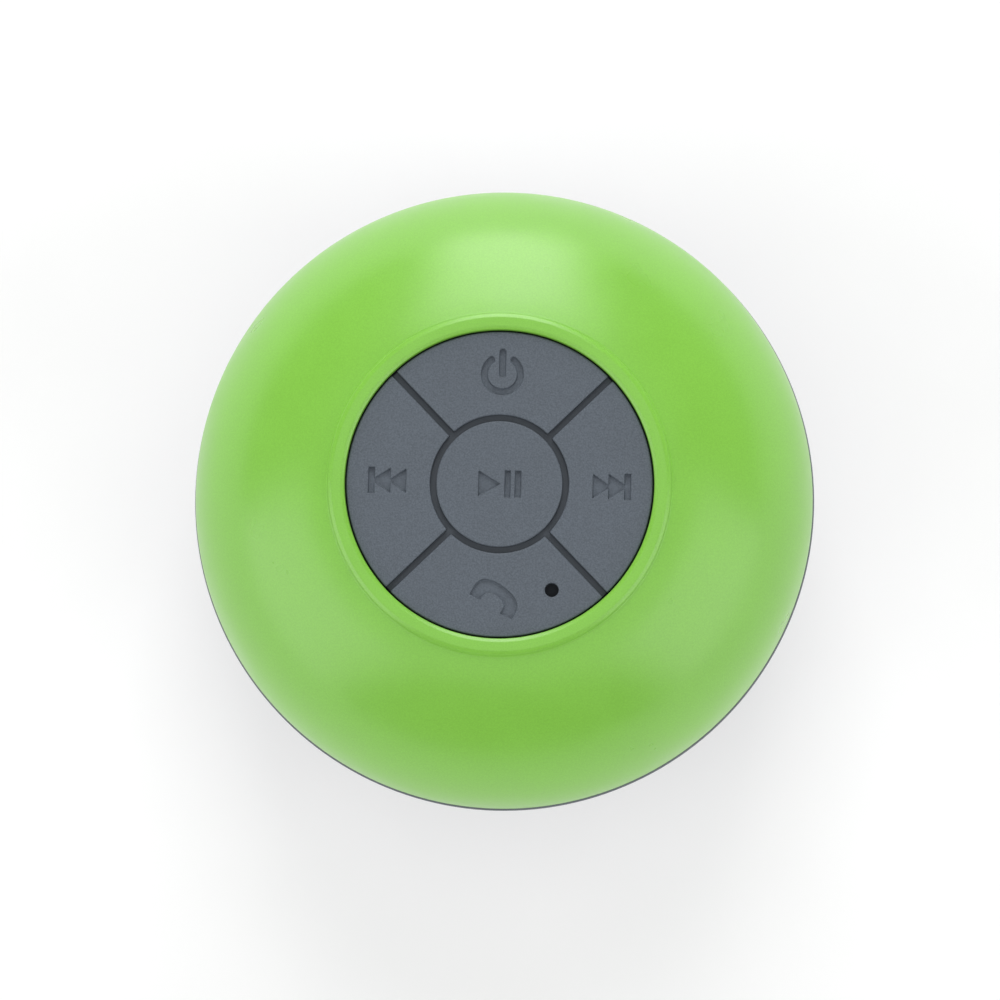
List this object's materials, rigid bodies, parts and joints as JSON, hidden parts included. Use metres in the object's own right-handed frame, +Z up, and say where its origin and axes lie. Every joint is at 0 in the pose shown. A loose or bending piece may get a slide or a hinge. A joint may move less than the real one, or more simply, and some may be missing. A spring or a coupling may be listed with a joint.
{
  "type": "shower speaker",
  "caption": "Round splash-resistant wireless shower speaker with a domed cover, a silicone keypad, a down-facing driver and a detachable swivelling suction cup",
  "frame": {"origin": "centre of the suction cup's rim, on the surface that the speaker stands on", "axes": "+Z up through the keypad, +Y towards the power key, +X towards the next key, -Y towards the charging port"},
  "size_m": [0.086, 0.086, 0.054],
  "materials": {
    "cover_green": "soft-touch satin paint",
    "shell_grey": "fine matte texture",
    "keypad_silicone": "matte silicone",
    "cup_silicone": "smooth silicone",
    "spigot_plastic": "smooth moulded",
    "black_rubber": "matte",
    "black_plastic": "moulded",
    "circuit_board": "solder mask over glass fibre",
    "steel": "plated",
    "ferrite": "sintered ferrite",
    "copper": "enamelled copper winding",
    "cone_paper": "pressed pulp",
    "cloth": "impregnated cloth",
    "mesh_cloth": "woven water-shedding mesh",
    "cell_wrap": "foil pouch",
    "white_plastic": "moulded",
    "red_lead": "extruded insulation",
    "black_lead": "extruded insulation"
  },
  "bodies": {
    "housing": {"top_cover": "cover_green", "base_shell": "shell_grey", "seam_gasket": "black_rubber", "keypad_membrane": "keypad_silicone", "main_board": "circuit_board", "switch_play": "steel", "switch_next": "steel", "switch_power": "steel", "switch_previous": "steel", "switch_call": "steel", "microphone": "steel", "mic_boot": "black_rubber", "status_led": "white_plastic", "audio_chip": "black_plastic", "amplifier_chip": "black_plastic", "filter_capacitor": "steel", "battery_plug": "white_plastic", "speaker_plug": "white_plastic", "battery_pad": "black_rubber", "battery_cell": "cell_wrap", "speaker_baffle": "black_plastic", "speaker_mesh": "mesh_cloth", "speaker_gasket": "black_rubber", "speaker_basket": "steel", "speaker_front_plate": "steel", "speaker_magnet": "ferrite", "speaker_yoke": "steel", "speaker_surround": "black_rubber", "speaker_spider": "cloth", "usb_board": "circuit_board", "usb_socket": "steel", "battery_lead_red": "red_lead", "battery_lead_black": "black_lead", "speaker_lead_red": "red_lead", "speaker_lead_black": "black_lead", "usb_lead": "black_lead", "cover_screw_1": "steel", "cover_screw_2": "steel", "cover_screw_3": "steel", "cover_screw_4": "steel", "board_screw_1": "steel", "board_screw_2": "steel", "board_screw_3": "steel"},
    "key_play": {"key_play": "keypad_silicone"},
    "key_next": {"key_next": "keypad_silicone"},
    "key_power": {"key_power": "keypad_silicone"},
    "key_previous": {"key_previous": "keypad_silicone"},
    "key_call": {"key_call": "keypad_silicone"},
    "plunger_play": {"plunger_play": "black_plastic"},
    "plunger_next": {"plunger_next": "black_plastic"},
    "plunger_power": {"plunger_power": "black_plastic"},
    "plunger_previous": {"plunger_previous": "black_plastic"},
    "plunger_call": {"plunger_call": "black_plastic"},
    "port_cover": {"usb_port_cover": "keypad_silicone"},
    "cone": {"speaker_cone": "cone_paper", "dust_cap": "cone_paper", "voice_coil": "copper"},
    "cup_spigot": {"cup_spigot": "spigot_plastic"},
    "suction_cup": {"suction_cup": "cup_silicone"}
  },
  "joints": [
    {"name": "press_play", "type": "slide", "parent": "housing", "child": "key_play", "axis": [0, 0, -1], "range_m": [0, 0.0006], "stiffness_N_per_m": 1500},
    {"name": "press_next", "type": "slide", "parent": "housing", "child": "key_next", "axis": [0, 0, -1], "range_m": [0, 0.0006], "stiffness_N_per_m": 1500},
    {"name": "press_power", "type": "slide", "parent": "housing", "child": "key_power", "axis": [0, 0, -1], "range_m": [0, 0.0006], "stiffness_N_per_m": 1500},
    {"name": "press_previous", "type": "slide", "parent": "housing", "child": "key_previous", "axis": [0, 0, -1], "range_m": [0, 0.0006], "stiffness_N_per_m": 1500},
    {"name": "press_call", "type": "slide", "parent": "housing", "child": "key_call", "axis": [0, 0, -1], "range_m": [0, 0.0006], "stiffness_N_per_m": 1500},
    {"name": "click_play", "type": "slide", "parent": "housing", "child": "plunger_play", "axis": [0, 0, -1], "range_m": [0, 0.00036]},
    {"name": "click_next", "type": "slide", "parent": "housing", "child": "plunger_next", "axis": [0, 0, -1], "range_m": [0, 0.00036]},
    {"name": "click_power", "type": "slide", "parent": "housing", "child": "plunger_power", "axis": [0, 0, -1], "range_m": [0, 0.00036]},
    {"name": "click_previous", "type": "slide", "parent": "housing", "child": "plunger_previous", "axis": [0, 0, -1], "range_m": [0, 0.00036]},
    {"name": "click_call", "type": "slide", "parent": "housing", "child": "plunger_call", "axis": [0, 0, -1], "range_m": [0, 0.00036]},
    {"name": "port_cover_hinge", "type": "hinge", "parent": "housing", "child": "port_cover", "pos_m": [0, -0.04, 0.0192], "axis": [1, 0, 0], "range_deg": [0, 110]},
    {"name": "cone_stroke", "type": "slide", "parent": "housing", "child": "cone", "axis": [0, 0, -1], "range_m": [-0.0006, 0.0006], "stiffness_N_per_m": 800, "deforming": ["speaker_surround", "speaker_spider"]},
    {"name": "cup_pull", "type": "slide", "parent": "housing", "child": "cup_spigot", "axis": [0, 0, -1], "range_m": [0, 0.012]},
    {"name": "cup_swivel", "type": "hinge", "parent": "cup_spigot", "child": "suction_cup", "pos_m": [0, 0, 0.005], "axis": [0, 0, 1], "continuous": true}
  ],
  "couplings": [
    {"joint": "click_play", "follows": "press_play", "ratio": 0.5},
    {"joint": "click_next", "follows": "press_next", "ratio": 0.5},
    {"joint": "click_power", "follows": "press_power", "ratio": 0.5},
    {"joint": "click_previous", "follows": "press_previous", "ratio": 0.5},
    {"joint": "click_call", "follows": "press_call", "ratio": 0.5}
  ]
}
